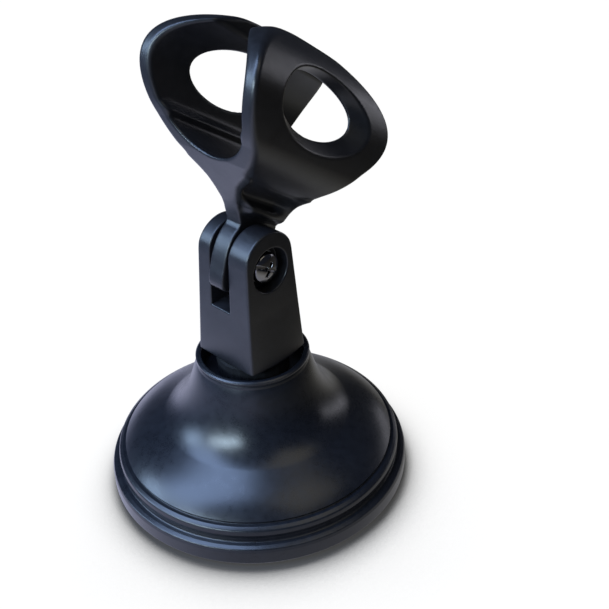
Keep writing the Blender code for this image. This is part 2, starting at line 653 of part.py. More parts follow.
post_frame = empty("post_swivel", parent=base_frame)
on_hinge = dict(location=(0, 0, HINGE_Z), rotation=TURN_TO_X, parent=post_frame)
build_post(post_frame, on_hinge)
build_pivot_nut(on_hinge)
build_friction_washers(on_hinge)

build_tension_screw(empty("screw_turn", (0, 0, HINGE_Z), post_frame))

clip_frame = empty("clip_tilt", (0, 0, HINGE_Z), post_frame)
clip_frame.rotation_euler = (CLIP_TILT, 0, 0)
build_clip(clip_frame)
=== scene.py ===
"""Looks of the desktop microphone stand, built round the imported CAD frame.

The stand is upright on Z: a round base, a post, and a cradle-shaped clip that pivots on a screw
along X. The cradle reaches towards -Y, its front, and the clip tilts back towards +Y. Moulded
pieces are meshed from distance functions, so that every edge has the soft radius of a moulding;
the base is swept from its profile. Shapes are in millimetres, the scene in metres.
"""

import math
from itertools import product

import bmesh
import bpy
import numpy as np
from mathutils import Matrix, Vector


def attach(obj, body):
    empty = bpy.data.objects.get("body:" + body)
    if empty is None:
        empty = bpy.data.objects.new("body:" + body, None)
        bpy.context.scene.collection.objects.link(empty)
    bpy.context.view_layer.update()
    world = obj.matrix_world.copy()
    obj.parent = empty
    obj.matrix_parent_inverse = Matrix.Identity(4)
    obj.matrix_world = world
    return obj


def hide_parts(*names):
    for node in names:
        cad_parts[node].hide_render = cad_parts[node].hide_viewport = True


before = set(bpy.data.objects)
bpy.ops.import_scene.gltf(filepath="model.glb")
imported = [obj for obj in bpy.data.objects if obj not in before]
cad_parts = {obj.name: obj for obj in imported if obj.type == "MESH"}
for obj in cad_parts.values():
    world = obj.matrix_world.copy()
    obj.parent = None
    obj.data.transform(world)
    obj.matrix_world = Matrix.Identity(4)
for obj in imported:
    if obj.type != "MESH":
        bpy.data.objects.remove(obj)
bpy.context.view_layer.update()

MM = 0.001

# Dimensions shared by several pieces
STAND_OFF = 0.6                 # height of the base's lower edge above the floor
HINGE = 75.1 + STAND_OFF        # height of the pivot
TILT = math.radians(-34.5)      # of the clip, about X
SLOT_MID = -1.3                 # x of the middle of the post's slot and the clip's tongue
PIVOT_HOLE_R = 2.65


# --------------------------------------------------------------- distance tools
def intersect(a, b, radius):
    """Both solids at once, with outer edges rounded to the radius."""
    rounding = np.hypot(np.maximum(radius + a, 0), np.maximum(radius + b, 0))
    return np.minimum(-radius, np.maximum(a, b)) + rounding


def unite(a, b, radius):
    """Either solid, with a fillet of the radius between them."""
    fillet = np.hypot(np.maximum(radius - a, 0), np.maximum(radius - b, 0))
    return np.maximum(radius, np.minimum(a, b)) - fillet


def subtract(a, b, radius):
    return intersect(a, -b, radius)


def polygon(points, x, y):
    """Signed distance to a closed polygon, negative inside."""
    x, y = np.broadcast_arrays(x, y)
    nearest = np.full(x.shape, 1e9)
    inside = np.zeros(x.shape, bool)
    for (x0, y0), (x1, y1) in zip(points, points[1:] + points[:1]):
        edge_x, edge_y = x1 - x0, y1 - y0
        from_x, from_y = x - x0, y - y0
        length_squared = edge_x * edge_x + edge_y * edge_y + 1e-12
        along = np.clip((from_x * edge_x + from_y * edge_y) / length_squared, 0, 1)
        gap_x, gap_y = from_x - along * edge_x, from_y - along * edge_y
        nearest = np.minimum(nearest, gap_x * gap_x + gap_y * gap_y)
        if y0 != y1:
            crosses = (y0 > y) != (y1 > y)
            inside ^= crosses & (x < edge_x * (y - y0) / edge_y + x0)
    return np.sqrt(nearest) * np.where(inside, -1, 1)


def oval(x, y, half_x, half_y):
    """Near distance to an ellipse."""
    scaled = np.hypot(x / half_x, y / half_y)
    slope = np.hypot(x / (half_x * half_x), y / (half_y * half_y))
    return scaled * (scaled - 1) / np.maximum(slope, 1e-6)


def smoothstep(start, end, x):
    share = np.clip((x - start) / (end - start), 0, 1)
    return share * share * (3 - 2 * share)


# ---------------------------------------------------------------- outline tools
def rounded(points, radii):
    """Rounds the inner corners of an open polyline; there is one radius per point."""
    steps = 6
    out = [points[0]]
    for i in range(1, len(points) - 1):
        corner = Vector(points[i])
        back, ahead = Vector(points[i - 1]) - corner, Vector(points[i + 1]) - corner
        back_length, ahead_length = back.length, ahead.length
        back, ahead = back / back_length, ahead / ahead_length
        angle = math.acos(back.dot(ahead))
        cut = min(radii[i] / math.tan(angle / 2), 0.48 * back_length, 0.48 * ahead_length)
        start, end = corner + back * cut, corner + ahead * cut
        for k in range(steps + 1):
            share = k / steps
            rest = 1 - share
            point = start * rest ** 2 + corner * 2 * share * rest + end * share * share
            out.append((point.x, point.y))
    out.append(points[-1])
    return out


def bezier(start, start_handle, end_handle, end, count):
    """Points along a cubic curve, without its end."""
    points = []
    for i in range(count):
        share = i / count
        rest = 1 - share
        points.append(tuple(
            rest ** 3 * a + 3 * share * rest ** 2 * b + 3 * share * share * rest * c + share ** 3 * d
            for a, b, c, d in zip(start, start_handle, end_handle, end)))
    return points


# ---------------------------------------------------------------------- meshing
def other_axes(axis):
    return [other for other in range(3) if other != axis]


def crossing_means(values, cells):
    """Mean point where the surface cuts each cell's edges, in grid steps."""
    sums = np.zeros((len(cells), 3))
    counts = np.zeros(len(cells))
    for axis, *corner in product(range(3), (0, 1), (0, 1)):
        across = other_axes(axis)
        near = cells.copy()
        near[:, across] += corner
        far = near.copy()
        far[:, axis] += 1
        start, end = values[tuple(near.T)], values[tuple(far.T)]
        cut = (start < 0) != (end < 0)
        point = np.zeros((len(cells), 3))
        point[:, axis] = np.where(cut, start / np.where(start == end, 1, start - end), 0)
        point[:, across] = corner
        sums[cut] += point[cut]
        counts[cut] += 1
    return cells + sums / counts[:, None]


def net_quads(inside, index):
    """One quad round every grid edge that the surface cuts, facing outwards."""
    quads = []
    for axis in range(3):
        across = other_axes(axis)
        near, far = [slice(1, -1)] * 3, [slice(1, -1)] * 3
        near[axis], far[axis] = slice(0, -1), slice(1, None)
        starts = inside[tuple(near)]
        cut = np.argwhere(starts != inside[tuple(far)])
        leaving = starts[tuple(cut.T)]
        base = cut.copy()
        base[:, across] += 1
        ring = []
        for shift in ((-1, -1), (0, -1), (0, 0), (-1, 0)):
            cell = base.copy()
            cell[:, across] += shift
            ring.append(index[tuple(cell.T)])
        ring = np.stack(ring, 1)
        reverse = leaving if axis == 1 else ~leaving
        ring[reverse] = ring[reverse][:, ::-1]
        quads.append(ring)
    quads = np.concatenate(quads)
    return quads[(quads >= 0).all(1)]


def draw_onto_surface(field, points, step):
    """Moves the points onto field = 0 by a few damped Newton steps."""
    probe = 0.02
    for _ in range(3):
        x, y, z = points.T
        gradient = np.stack([
            field(x + probe, y, z) - field(x - probe, y, z),
            field(x, y + probe, z) - field(x, y - probe, z),
            field(x, y, z + probe) - field(x, y, z - probe),
        ], 1) / (2 * probe)
        size = np.maximum((gradient ** 2).sum(1), 0.2)
        move = -(field(x, y, z) / size)[:, None] * gradient
        length = np.linalg.norm(move, axis=1, keepdims=True)
        points += move * np.minimum(1, 0.45 * step / np.maximum(length, 1e-9))


def mesh_of(name, field, low, high, step):
    """Mesh of field(x, y, z) = 0 by surface nets, between two corners of a box."""
    axes = [np.arange(a - 1.5 * step, b + 2.5 * step, step) for a, b in zip(low, high)]
    nx, ny, nz = map(len, axes)
    values = np.empty((nx, ny, nz), np.float32)
    values[:] = field(*np.ix_(*axes))
    inside = values < 0
    corners = inside.astype(np.int8)
    total = sum(corners[i:nx - 1 + i, j:ny - 1 + j, k:nz - 1 + k]
                for i, j, k in product((0, 1), repeat=3))
    active = (total > 0) & (total < 8)
    cells = np.argwhere(active)
    index = np.full(active.shape, -1, np.int64)
    index[active] = np.arange(len(cells))

    points = crossing_means(values, cells) * step + np.array([axis[0] for axis in axes])
    quads = net_quads(inside, index)
    draw_onto_surface(field, points, step)

    mesh = bpy.data.meshes.new(name)
    mesh.vertices.add(len(points))
    mesh.vertices.foreach_set("co", (points * MM).astype(np.float32).ravel())
    mesh.loops.add(len(quads) * 4)
    mesh.loops.foreach_set("vertex_index", quads.astype(np.int32).ravel())
    mesh.polygons.add(len(quads))
    mesh.polygons.foreach_set("loop_start", np.arange(0, len(quads) * 4, 4, dtype=np.int32))
    mesh.update(calc_edges=True)
    mesh.validate()
    mesh.shade_smooth()
    return mesh


def turned_mesh(name, profile, segments, sharp):
    """Closed profile of (radius, z) swept about Z; edges over `sharp` degrees stay crisp."""
    bm = bmesh.new()
    angles = [2 * math.pi * i / segments for i in range(segments)]
    rings = [[bm.verts.new((radius * MM * math.cos(angle), radius * MM * math.sin(angle), z * MM))
              for angle in angles] for radius, z in profile]
    for ring, following in zip(rings, rings[1:] + rings[:1]):
        for i in range(segments):
            j = (i + 1) % segments
            bm.faces.new((ring[i], following[i], following[j], ring[j]))
    bmesh.ops.recalc_face_normals(bm, faces=bm.faces)
    mesh = bpy.data.meshes.new(name)
    bm.to_mesh(mesh)
    bm.free()
    mesh.shade_smooth()
    mesh.set_sharp_from_angle(angle=math.radians(sharp))
    return mesh


def link_new(name, data):
    made = bpy.data.objects.new(name, data)
    bpy.context.scene.collection.objects.link(made)
    return made


def place(mesh, body, finish, replaced, matrix=None):
    """Puts a mesh in the scene in place of a CAD piece, riding on a body of the frame."""
    made = link_new(mesh.name, mesh)
    if matrix is not None:
        mesh.transform(matrix)
    mesh.materials.append(finish)
    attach(made, body)
    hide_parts(replaced)


# ----------------------------------------------------------------- shader tools
def feed(tree, node, inputs):
    """Links the inputs given as sockets and sets the others."""
    for key, value in inputs.items():
        if isinstance(value, bpy.types.NodeSocket):
            tree.links.new(value, node.inputs[key])
        else:
            node.inputs[key].default_value = value


def add(tree, kind, inputs=None, output=0, **settings):
    """Adds a node and returns one of its output sockets."""
    node = tree.nodes.new("ShaderNode" + kind)
    for key, value in settings.items():
        setattr(node, key, value)
    feed(tree, node, inputs or {})
    return node.outputs[output]


def noise(tree, vector, scale, detail, rough=0.5, distortion=0.0):
    return add(tree, "TexNoise", {"Vector": vector, "Scale": scale, "Detail": detail,
                                  "Roughness": rough, "Distortion": distortion})


def remap(tree, value, source, target, **settings):
    """Maps the source range (low, high) onto the target range."""
    return add(tree, "MapRange", {
        "Value": value, "From Min": source[0], "From Max": source[1],
        "To Min": target[0], "To Max": target[1]}, **settings)


def calculate(tree, operation, a, b):
    return add(tree, "Math", {0: a, 1: b}, operation=operation)


def mix(tree, share, first, second, **settings):
    return add(tree, "MixRGB", {"Fac": share, "Color1": first, "Color2": second}, **settings)


def new_material(name):
    material = bpy.data.materials.new(name)
    material.use_nodes = True
    tree = material.node_tree
    return material, tree, tree.nodes["Principled BSDF"]


# -------------------------------------------------------------------- materials
def moulded(name, color, rough, grain, grain_scale=5200.0, patch=0.08, dust=0.03, specular=0.5):
    """Moulded plastic: spark texture, uneven sheen, faint scuffs and a trace of dust.

    `grain` is the strength of the texture, `patch` how far the roughness wanders.
    """
    material, tree, surface = new_material(name)
    where = add(tree, "TexCoord", output="Object")
    stretched = add(tree, "Mapping", {"Vector": where, "Scale": (1.0, 1.0, 7.0)})
    fine = noise(tree, where, scale=grain_scale, detail=3.0, rough=0.6)
    medium = noise(tree, where, scale=420.0, detail=4.0, rough=0.55)
    broad = noise(tree, where, scale=60.0, detail=3.0, distortion=0.4)
    scuff = noise(tree, stretched, scale=150.0, detail=6.0, rough=0.7, distortion=0.6)

    # roughness: broad patches, then each finer layer on top
    roughness = remap(tree, broad, (0.3, 0.7), (rough - patch, rough + patch))
    for layer, source, target in (
        (fine, (0.3, 0.7), (-0.03, 0.03)),
        (scuff, (0.62, 0.8), (0.0, patch)),
        (medium, (0.3, 0.7), (-0.02, 0.02)),
    ):
        roughness = calculate(tree, "ADD", roughness, remap(tree, layer, source, target))

    # colour: slightly lighter mottling, then specks of grey dust
    lighter = [min(1, channel * 1.35 + 0.0008) for channel in color]
    mottling = remap(tree, medium, (0.35, 0.7), (0.0, 1.0))
    tone = mix(tree, mottling, (*color, 1), (*lighter, 1))
    specks = noise(tree, where, scale=1900.0, detail=2.0)
    drifts = noise(tree, where, scale=35.0, detail=3.0, rough=0.6)
    amount = calculate(tree, "MULTIPLY", remap(tree, specks, (0.66, 0.78), (0.0, 1.0)),
                       remap(tree, drifts, (0.45, 0.75), (0.15, 1.0)))
    powder = mix(tree, calculate(tree, "MULTIPLY", amount, dust), tone, (0.30, 0.30, 0.31, 1))

    # relief: a slow wave under the fine grain
    wave = add(tree, "Bump", {"Strength": 0.10, "Distance": 0.0006, "Height": broad})
    relief = add(tree, "Bump", {"Strength": grain, "Distance": 0.00006, "Height": fine,
                                "Normal": wave})
    feed(tree, surface, {"Roughness": roughness, "Base Color": powder, "Normal": relief,
                         "Specular IOR Level": specular})
    return material


def metal(name, color, rough, tarnish, amount, brushed=(1, 1, 1), scale=1500.0, relief=0.15):
    """Metal with fine grain, stretched by `brushed`, and up to `amount` of tarnish in patches."""
    material, tree, surface = new_material(name)
    where = add(tree, "TexCoord", output="Object")
    stretched = add(tree, "Mapping", {"Vector": where, "Scale": brushed})
    fine = noise(tree, stretched, scale=scale, detail=4)
    broad = noise(tree, where, scale=160, detail=5)
    stain = remap(tree, broad, (0.5, 0.75), (0.0, amount))
    feed(tree, surface, {
        "Metallic": 1.0,
        "Roughness": remap(tree, fine, (0.3, 0.7), (rough - 0.08, rough + 0.12)),
        "Base Color": mix(tree, stain, (*color, 1), (*tarnish, 1)),
        "Normal": add(tree, "Bump", {"Strength": relief, "Distance": 0.00005, "Height": fine}),
    })
    return material


SHELL = moulded("shell_black", (0.0050, 0.0058, 0.0085), rough=0.30, grain=0.05, patch=0.03,
                dust=0.010)
POST = moulded("post_black", (0.0080, 0.0080, 0.0098), rough=0.36, grain=0.14, patch=0.05)
CLIP = moulded("clip_black", (0.0062, 0.0062, 0.0074), rough=0.36, grain=0.12, patch=0.05,
               dust=0.02)
PLATE = moulded("plate_black", (0.012, 0.012, 0.013), rough=0.55, grain=0.4,
                grain_scale=2600.0, dust=0.08)
RUBBER = moulded("foot_rubber", (0.018, 0.018, 0.018), rough=0.78, grain=0.5,
                 grain_scale=3200.0, dust=0.25, specular=0.3)
FIBRE = moulded("fibre", (0.10, 0.085, 0.07), rough=0.8, grain=0.6, grain_scale=2200.0,
                dust=0.1, specular=0.3)
BLACK_STEEL = metal("black_steel", (0.26, 0.26, 0.28), rough=0.13, scale=900.0,
                    tarnish=(0.10, 0.09, 0.08), amount=0.5, relief=0.02)
# Black oxide steel, made near black and dull so the stud and its washer read as the shade inside the
# collar: partly their own finish, partly painted shade
OXIDE_PAINTED_SHADE = moulded("black_oxide_painted_shade", (0.008, 0.008, 0.009), rough=0.75, grain=0.3,
                grain_scale=1400.0, dust=0.0, specular=0.10)
ZINC = metal("zinc", (0.60, 0.61, 0.62), rough=0.30, scale=1800.0,
             tarnish=(0.42, 0.40, 0.30), amount=0.4)
BRASS = metal("dark_brass", (0.06, 0.042, 0.022), rough=0.50, brushed=(1, 1, 8),
              tarnish=(0.08, 0.05, 0.03), amount=0.5)
IRON = metal("cast_iron", (0.12, 0.115, 0.11), rough=0.62, scale=900.0,
             tarnish=(0.20, 0.10, 0.05), amount=0.5, relief=0.8)


# ------------------------------------------------------------------------- clip
# The clip is drawn upright, with its origin on the pivot, and tilted when placed.
WALL = 4.55
PETAL_MID_Y, PETAL_HALF_Y = -13.36, 30.8
PETAL_MID_Z, PETAL_HALF_Z = 42.27, 19.98
PETAL_TOP = PETAL_MID_Z + PETAL_HALF_Z
PETAL_EGG = 0.19            # how much longer a petal's oval is near its top
CUP_BOTTOM = 19.0
CORNER_Z = 32.5             # where the cradle's floor turns into its sides
KNEE_Y, KNEE_Z = -28.0, 24.0    # lowest point of the petals' front edge
NECK_BACK = 4.9


def petal_height(z):
    """Height in a petal, from -1 at the foot of its oval to 1 at the top."""
    return (z - PETAL_MID_Z) / PETAL_HALF_Z


def half_width(z):
    """Half width of the cradle across its sides, a cubic in the height."""
    height = petal_height(z)
    return 20.89 - 1.14 * height - 10.13 * height * height - 5.51 * height ** 3


def cup_outline():
    """Closed outline of the cradle across the microphone, (x, z)."""
    bottom = bezier((0.0, CUP_BOTTOM), (12.5, CUP_BOTTOM + 0.3), (18.47, 27.5),
                    (half_width(CORNER_Z), CORNER_Z), 36)
    side = []
    for i in range(47):
        z = CORNER_Z + (PETAL_TOP - CORNER_Z) * math.sin(math.pi / 2 * i / 46)
        side.append((half_width(z), z))
    half = bottom[1:] + side + [(2.4, PETAL_TOP + 1.0)]
    mirrored = [(-x, z) for x, z in reversed(half)]
    return [(0.0, CUP_BOTTOM)] + half + [(0.0, PETAL_TOP + 1.7)] + mirrored


def petal_ends(z):
    """Front and back y of the petals at a height."""
    height = petal_height(z)
    half = PETAL_HALF_Y * math.sqrt(1 - height * height) * (1 + PETAL_EGG * height)
    front, back = PETAL_MID_Y - half, PETAL_MID_Y + half
    if z < 34:
        front = min(front, KNEE_Y - 1.12 * (z - KNEE_Z))
        back = max(back, NECK_BACK, 12.5 + 0.69 * (z - 34))
    return front, back


def side_outline():
    """Closed outline of the whole clip from the side, (y, z): round tongue, neck and petals."""
    tongue = [(9.4, 0.0), (9.35, -1.7), (9.1, -3.4), (8.75, -5.0), (8.3, -6.6), (7.8, -7.9),
              (7.2, -9.0), (6.5, -9.9), (5.4, -10.5)]
    tongue += [(-y, z) for y, z in reversed(tongue[3:])]
    front = bezier((-9.1, -3.8), (-10.5, 0.4), (-10.9, 4.8), (-8.8, 8.3), 16)
    front += [(-9.1, 9.1), (-9.8, 10.0), (-10.8, 11.1), (-14.0, 14.0)]
    neck_back = [(NECK_BACK, 21.0), (NECK_BACK, 16.5)]
    neck_back += bezier((NECK_BACK, 15.0), (NECK_BACK, 10.5), (8.3, 8.0), (9.3, 2.5), 8)
    petal_back = []
    for i in range(80):
        z = KNEE_Z + (PETAL_TOP - KNEE_Z) * math.sin(math.pi / 2 * i / 80)
        front_y, back_y = petal_ends(z)
        front.append((front_y, z))
        petal_back.append((back_y, z))
    return tongue + front + petal_back[::-1] + neck_back


# Cross-sections of the neck as (half width, z): along its middle, with the ledge over the ears
# and the hollow above it, at its back end, and at its front plate.
NECK_MIDDLE = [
    (-20, -14), (2.95, -14), (2.95, 10.6), (3.1, 11.6), (3.7, 12.4), (4.9, 12.9), (5.7, 13.4),
    (5.95, 14.2), (5.75, 15.1), (5.0, 15.8), (4.3, 16.5), (4.0, 17.4), (4.3, 18.5), (5.4, 19.8),
    (7.4, 21.0), (9.0, 21.8), (-20, 22.0)]
NECK_END = [
    (-20, -14), (2.95, -14), (2.95, 10.6), (3.1, 11.6), (3.7, 12.4), (4.8, 13.0), (5.5, 13.7),
    (5.9, 14.8), (6.3, 16.2), (7.0, 17.7), (8.0, 19.2), (9.3, 20.5), (11.0, 21.8), (-20, 22.0)]
NECK_FRONT = [
    (-20, -14), (2.95, -14), (2.95, 12.8), (3.4, 14.4), (4.5, 16.2), (6.3, 18.4), (8.6, 20.4),
    (11.0, 22.0), (-20, 22.0)]
CUP_OUTLINE, SIDE_OUTLINE = cup_outline(), side_outline()


def cradle_side(side, z, skew):
    """The cradle's outline distance with x shifted by an amount that depends on y."""
    if np.ndim(side) < 3:
        return polygon(CUP_OUTLINE, side + skew, z)
    # on the grid, read from a table over x and z: far fewer distances to work out
    spacing = 0.25
    xs = np.arange(-3.0, 32.0, spacing)
    table = polygon(CUP_OUTLINE, xs[:, None], z.ravel()[None, :])
    shifted = np.broadcast_to(side + skew, np.broadcast_shapes(side.shape, skew.shape, z.shape))
    position = np.clip((shifted - xs[0]) / spacing, 0, len(xs) - 1.001)
    row = position.astype(int)
    share = position - row
    column = np.broadcast_to(np.arange(z.size).reshape(z.shape), shifted.shape)
    return table[row, column] * (1 - share) + table[row + 1, column] * share


def cradle(x, y, z):
    """The thin cradle, with its rib and windows."""
    side = np.abs(x)
    skew = 0.97 * np.clip((y - PETAL_MID_Y) / PETAL_HALF_Y, -1, 1)
    if np.ndim(x) < 3:
        skew = skew * smoothstep(0, 8, side)
    outer = cradle_side(side, z, skew)
    # a rounded rib along the foot of each petal, inside
    rib_ends = smoothstep(-39.0, -33.0, y) * smoothstep(13.0, 6.0, y)
    rib = 1.1 * np.exp(-((z - 31.6) / 1.35) ** 2) * rib_ends
    wall = WALL + rib + 0.9 * smoothstep(31.0, 22.0, z)
    shell = np.maximum(outer, -(outer + wall))
    # the petals stay apart above the cradle
    shell = intersect(shell, np.where(z > 45, 5.8 - side, -9.0), 1.0)
    # windows, flared towards the outside
    flare = np.clip((outer + WALL - 0.7) / (WALL - 0.7), 0, 1.4)
    window = oval(y - (-14.0 + 1.1 * flare), z - (45.4 - 0.6 * flare),
                  16.0 + 4.5 * flare, 8.1 + 2.4 * flare)
    return subtract(shell, window, 0.5)


def neck_and_tongue(x, y, z):
    """They stand off centre with the slot of the post."""
    middle = SLOT_MID * smoothstep(23.0, 9.0, z)
    side = np.abs(x - middle)
    front_y = -14.0 - 1.4 * np.maximum(z - 14.0, 0)
    behind = smoothstep(1.4, 4.6, y - front_y)
    end = smoothstep(-2.0, 4.0, y)
    neck = polygon(NECK_MIDDLE, side, z) * (1 - end) + polygon(NECK_END, side, z) * end
    return neck * behind + polygon(NECK_FRONT, side, z) * (1 - behind)


def clip_field(x, y, z):
    body = unite(cradle(x, y, z), neck_and_tongue(x, y, z), 1.8)
    edge_radius = 0.45 + 0.85 * smoothstep(11.0, 22.0, z)
    whole = intersect(body, polygon(SIDE_OUTLINE, y, z), edge_radius)
    return subtract(whole, np.hypot(y, z) - PIVOT_HOLE_R, 0.3)


AT_HINGE = Matrix.Translation((0, 0, HINGE * MM))
place(
    mesh_of("clip_moulding", clip_field, low=(-23, -46, -12), high=(23, 22, 62.5),
            step=0.42),
    "clip", CLIP, "mic_clip", AT_HINGE @ Matrix.Rotation(TILT, 4, "X"),
)


# ------------------------------------------------------------------------- post
POST_Z = 44.2 + STAND_OFF       # foot of the post
POST_HEIGHT = 37.8
EAR_Z = 77.3 + STAND_OFF        # centre of the ears' round tops
EAR_R = 9.4
SLOT_HALF = 3.87
SLOT_FLOOR = 62.1 + STAND_OFF
SCREW_BORE_R, SCREW_BORE_X = 6.7, 5.7       # sunk into the +X ear
NUT_POCKET_HALF, NUT_POCKET_X = 4.2, -7.2   # hexagon sunk into the -X ear
SOCKET_R = 9.75
SOCKET_TOP = 58.6 + STAND_OFF


def post_field(x, y, z):
    # tapered square block whose sides belly out near the foot
    height = z - POST_Z
    share = height / POST_HEIGHT
    belly = 1.35 * np.clip(1 - height / 17.0, 0, 1) ** 1.4
    half_x = 11.6 - 1.5 * share
    half_y = 11.2 - 2.25 * share
    sides_x = np.abs(x) - (half_x + belly * np.clip(1 - (y / half_y) ** 2, 0, 1))
    sides_y = np.abs(y) - (half_y + belly * np.clip(1 - (x / half_x) ** 2, 0, 1))
    body = intersect(sides_x, sides_y, 0.8)
    body = intersect(body, -height, 0.5)
    # round-topped ears, either side of the slot
    above = z - EAR_Z
    ears = np.where(above > 0, np.hypot(y, above) - EAR_R, np.abs(y) - EAR_R + 0.0595 * above)
    body = intersect(body, ears, 0.6)
    slot = np.maximum(np.abs(x - SLOT_MID) - SLOT_HALF, SLOT_FLOOR - z)
    body = subtract(body, slot, 0.4)
    # pivot hole, screw bore and nut pocket
    up = z - HINGE
    radius = np.hypot(y, up)
    body = subtract(body, radius - PIVOT_HOLE_R, 0.2)
    body = subtract(body, np.maximum(radius - SCREW_BORE_R, SCREW_BORE_X - x), 0.35)
    cos_60, sin_60 = 0.5, math.sqrt(3) / 2
    slanted = np.maximum(np.abs(cos_60 * y + sin_60 * up), np.abs(cos_60 * y - sin_60 * up))
    hexagon = np.maximum(np.abs(y), slanted) - NUT_POCKET_HALF
    body = subtract(body, np.maximum(hexagon, x - NUT_POCKET_X), 0.25)
    socket = np.maximum(np.hypot(x, y) - SOCKET_R, z - SOCKET_TOP)
    return subtract(body, socket, 0.25)


place(
    mesh_of("post_moulding", post_field, low=(-13.5, -13.2, 44.0), high=(13.5, 13.2, 87.5),
            step=0.26),
    "post", POST, "swivel_post",
)


# ------------------------------------------------------------------------- base
# Profile of the base as (radius, height above its lower edge), from the lip at the top, down
# the outside and back up the inside.
BASE_R = 47.5
NECK_TOP = (17.36, 40.4)
SHOULDER = (29.6, 20.1)
DOME_EDGE = (42.6, 12.2)
LIP = [(16.0, 43.0), (17.0, 43.0), (17.5, 42.6), (17.5, 42.0), (16.95, 41.6), (17.2, 41.1),
       NECK_TOP]
RIM = [DOME_EDGE, (42.35, 11.4), (43.6, 11.3), (44.8, 10.6), (45.05, 9.2), (44.7, 7.9),
       (44.7, 6.4), (46.0, 6.2), (47.2, 5.7), (BASE_R, 4.6), (BASE_R, 0.6), (47.0, 0.0)]
RIM_RADII = [0, 0.25, 0.5, 1.0, 1.2, 0.6, 0.5, 0.8, 0.6, 0.6, 0.4, 0]
INSIDE = [(44.9, 0.0), (44.9, 2.9), (42.1, 4.4), (41.3, 9.6), (38.4, 12.3), (32.0, 15.9),
          (26.8, 18.3), (22.4, 21.8), (19.0, 26.6), (15.6, 32.0), (14.4, 33.0), (5.3, 33.0),
          (5.3, 37.0), (15.7, 37.0), (15.7, 42.7)]


def base_profile():
    lip = rounded(LIP, [0.25] * len(LIP))
    neck = bezier(NECK_TOP, (19.6, 35.8), (20.6, 25.6), SHOULDER, 48)
    dome = bezier(SHOULDER, (35.0, 17.4), (38.6, 16.0), DOME_EDGE, 32)
    rim = rounded(RIM, RIM_RADII)
    return [(radius, z + STAND_OFF) for radius, z in lip + neck + dome + rim + INSIDE]


place(
    turned_mesh("base_moulding", base_profile(), segments=320, sharp=50),
    "base", SHELL, "base_shell",
)


# --------------------------------------------------------------------- hardware
HEAD_R, HEAD_TOP, HEAD_UNDERSIDE = 4.75, 10.0, 7.5
HEAD_DOME_R = 9.2
SHANK_R, SHANK_MID, SHANK_HALF = 2.45, -0.95, 9.25


def screw_field(x, y, z):
    """Pivot screw about local Z, head up: shallow dome with a slot and a short cross."""
    radius = np.hypot(x, y)
    dome = np.hypot(radius, z - (HEAD_TOP - HEAD_DOME_R)) - HEAD_DOME_R
    head = intersect(intersect(radius - HEAD_R, dome, 0.5), HEAD_UNDERSIDE - z, 0.2)
    shank = intersect(radius - SHANK_R, np.abs(z - SHANK_MID) - SHANK_HALF, 0.3)
    body = unite(head, shank, 0.1)
    cosine, sine = math.cos(math.radians(60)), math.sin(math.radians(60))
    along, across = cosine * x + sine * y, -sine * x + cosine * y
    slot = np.maximum(np.abs(across) - 0.5, 8.6 - z)
    cross = np.maximum(np.maximum(np.abs(along) - 0.55, np.abs(across) - 2.2), 8.0 - z)
    return subtract(subtract(body, slot, 0.12), cross, 0.12)


# the screw lies along X, its head towards +X
place(
    mesh_of("pivot_screw", screw_field, low=(-5, -5, -10.4), high=(5, 5, 10.2), step=0.2),
    "tension_screw", BLACK_STEEL, "pivot_bolt",
    AT_HINGE @ Matrix.Rotation(math.pi / 2, 4, "Y"),
)


def numbered(name, count):
    return [f"{name}_{i}" for i in range(1, count + 1)]


# CAD pieces that keep their own meshes
for finish, pieces in (
    (BLACK_STEEL, ["flat_washer", "spring_washer", "pivot_nut"]),
    (FIBRE, ["friction_washer_left", "friction_washer_right"]),
    (BRASS, ["thread_insert"]),
    # the stud and its washer wear the oxide darkened as painted shade for the collar's hollow
    (OXIDE_PAINTED_SHADE, ["threaded_stud", "stud_washer"]),
    (ZINC, ["stud_nut"]),
    (IRON, ["ballast_ring"]),
    (ZINC, numbered("ballast_screw", 3)),
    (PLATE, ["bottom_plate"]),
    (BLACK_STEEL, numbered("plate_screw", 4)),
    (RUBBER, numbered("rubber_foot", 4)),
):
    for piece in pieces:
        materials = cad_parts[piece].data.materials
        materials.clear()
        materials.append(finish)


# ------------------------------------------------------------------------ stage
AZIMUTH = 48.5                  # of the camera, in degrees anticlockwise from -Y
VIEW_TURN = math.radians(AZIMUTH)
VIEW_RIGHT = np.array((math.cos(VIEW_TURN), math.sin(VIEW_TURN), 0))
VIEW_NEAR = np.array((math.sin(VIEW_TURN), -math.cos(VIEW_TURN), 0))    # towards the viewer
ROOM = 0.055                    # brightness of the room round the object, as its surfaces see it

# Painted light of the bench, which the floor glows with for everything but the camera: (metres to
# the viewer's right, colour)
BENCH_GLOW = [
    (-0.30, (0.16, 0.19, 0.32)), (-0.17, (0.32, 0.36, 0.56)), (-0.100, (0.84, 0.90, 1.28)),
    (-0.062, (1.04, 1.07, 1.46)), (-0.01, (0.44, 0.45, 0.56)), (0.07, (0.46, 0.45, 0.42)),
    (0.105, (0.22, 0.20, 0.16)), (0.14, (0.06, 0.055, 0.042)), (0.30, (0.05, 0.045, 0.036))]


def bench_glow_color(tree, position):
    """Colour bands across the view, as listed in BENCH_GLOW."""
    left, right = BENCH_GLOW[0][0], BENCH_GLOW[-1][0]
    side = add(tree, "VectorMath", {0: position, 1: tuple(VIEW_RIGHT)}, output="Value",
               operation="DOT_PRODUCT")
    bench = add(tree, "ValToRGB", {"Fac": remap(tree, side, (left, right), (0.0, 1.0))})
    stops = bench.node.color_ramp.elements
    while len(stops) < len(BENCH_GLOW):
        stops.new(0.5)
    for stop, (where, color) in zip(stops, BENCH_GLOW):
        stop.position = (where - left) / (right - left)
        stop.color = (*color, 1)
    return bench


